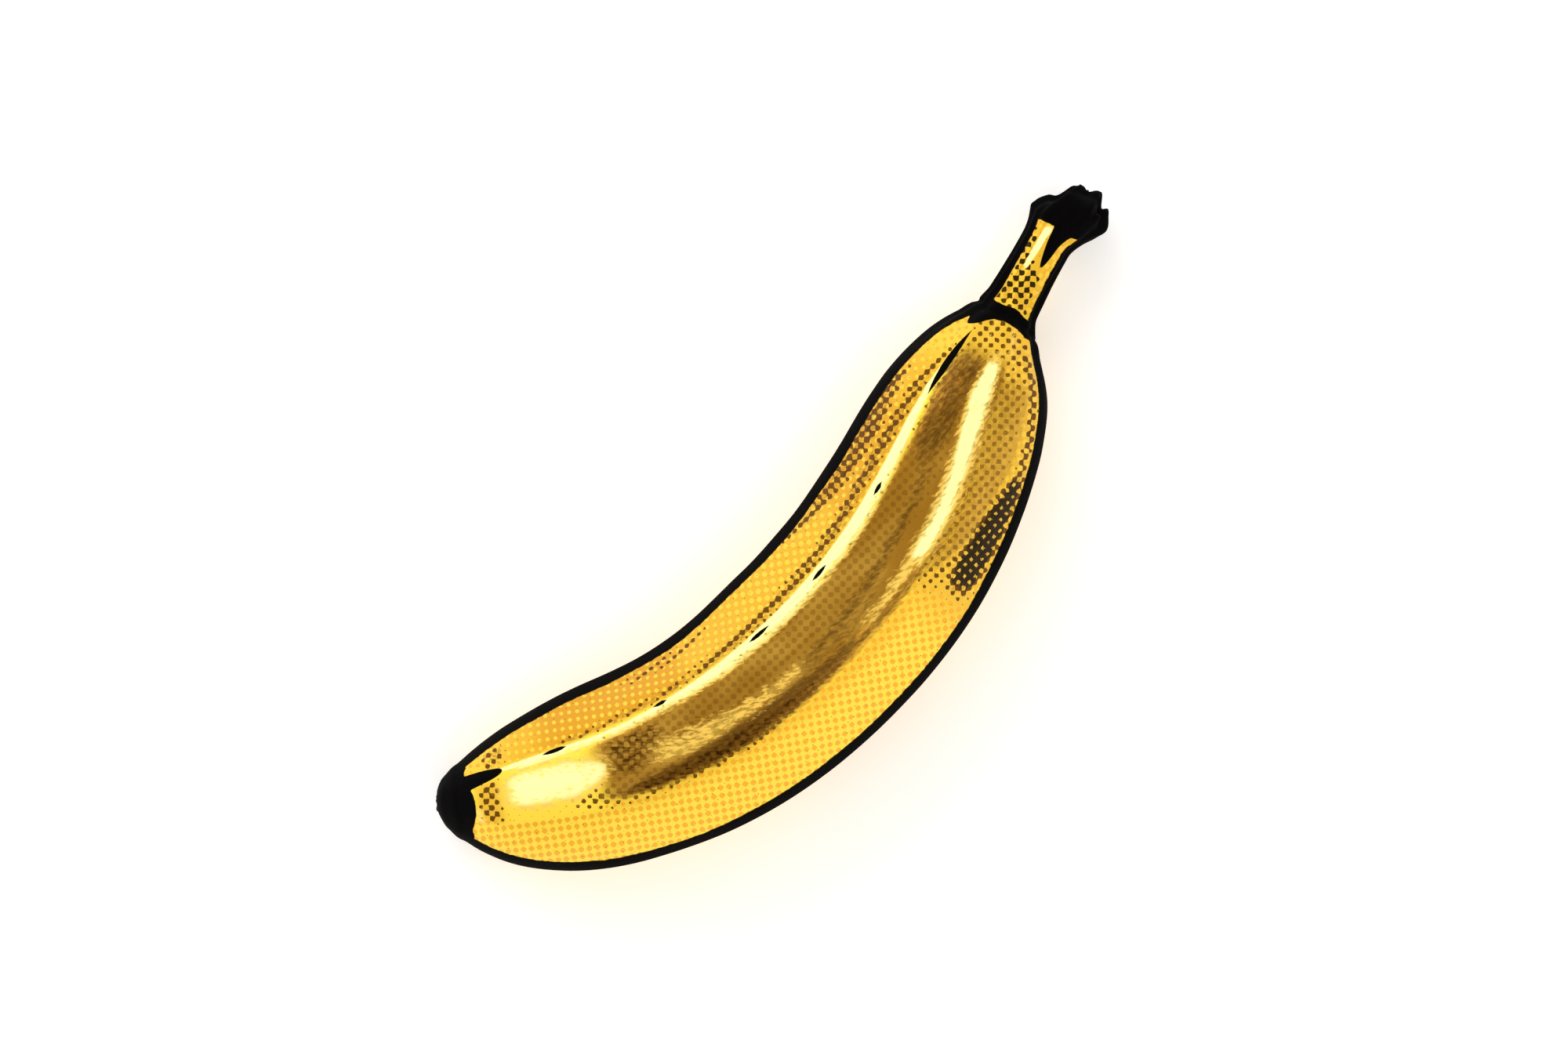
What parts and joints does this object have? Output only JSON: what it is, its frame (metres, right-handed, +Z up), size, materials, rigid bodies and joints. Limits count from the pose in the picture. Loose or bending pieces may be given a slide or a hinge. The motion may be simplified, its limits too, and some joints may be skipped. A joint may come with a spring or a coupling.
{
  "type": "banana",
  "caption": "Whole ripe banana lying on its flank, with a ridged curved body, a slim stem, a flared crown and a blunt blossom tip.",
  "frame": {"origin": "bottom centre of the fruit's box, on the surface that it lies on", "axes": "+X from the blossom tip towards the stem, -Y on the outer (convex) curve's side, +Z up, away from the rest face"},
  "size_m": [0.1838, 0.0556, 0.0382],
  "materials": {
    "peel": "golden waxy peel with brown dots, foil-like highlights along its ridges, and a dark crown and tip"
  },
  "bodies": {
    "root": {"banana": "peel"}
  },
  "joints": []
}
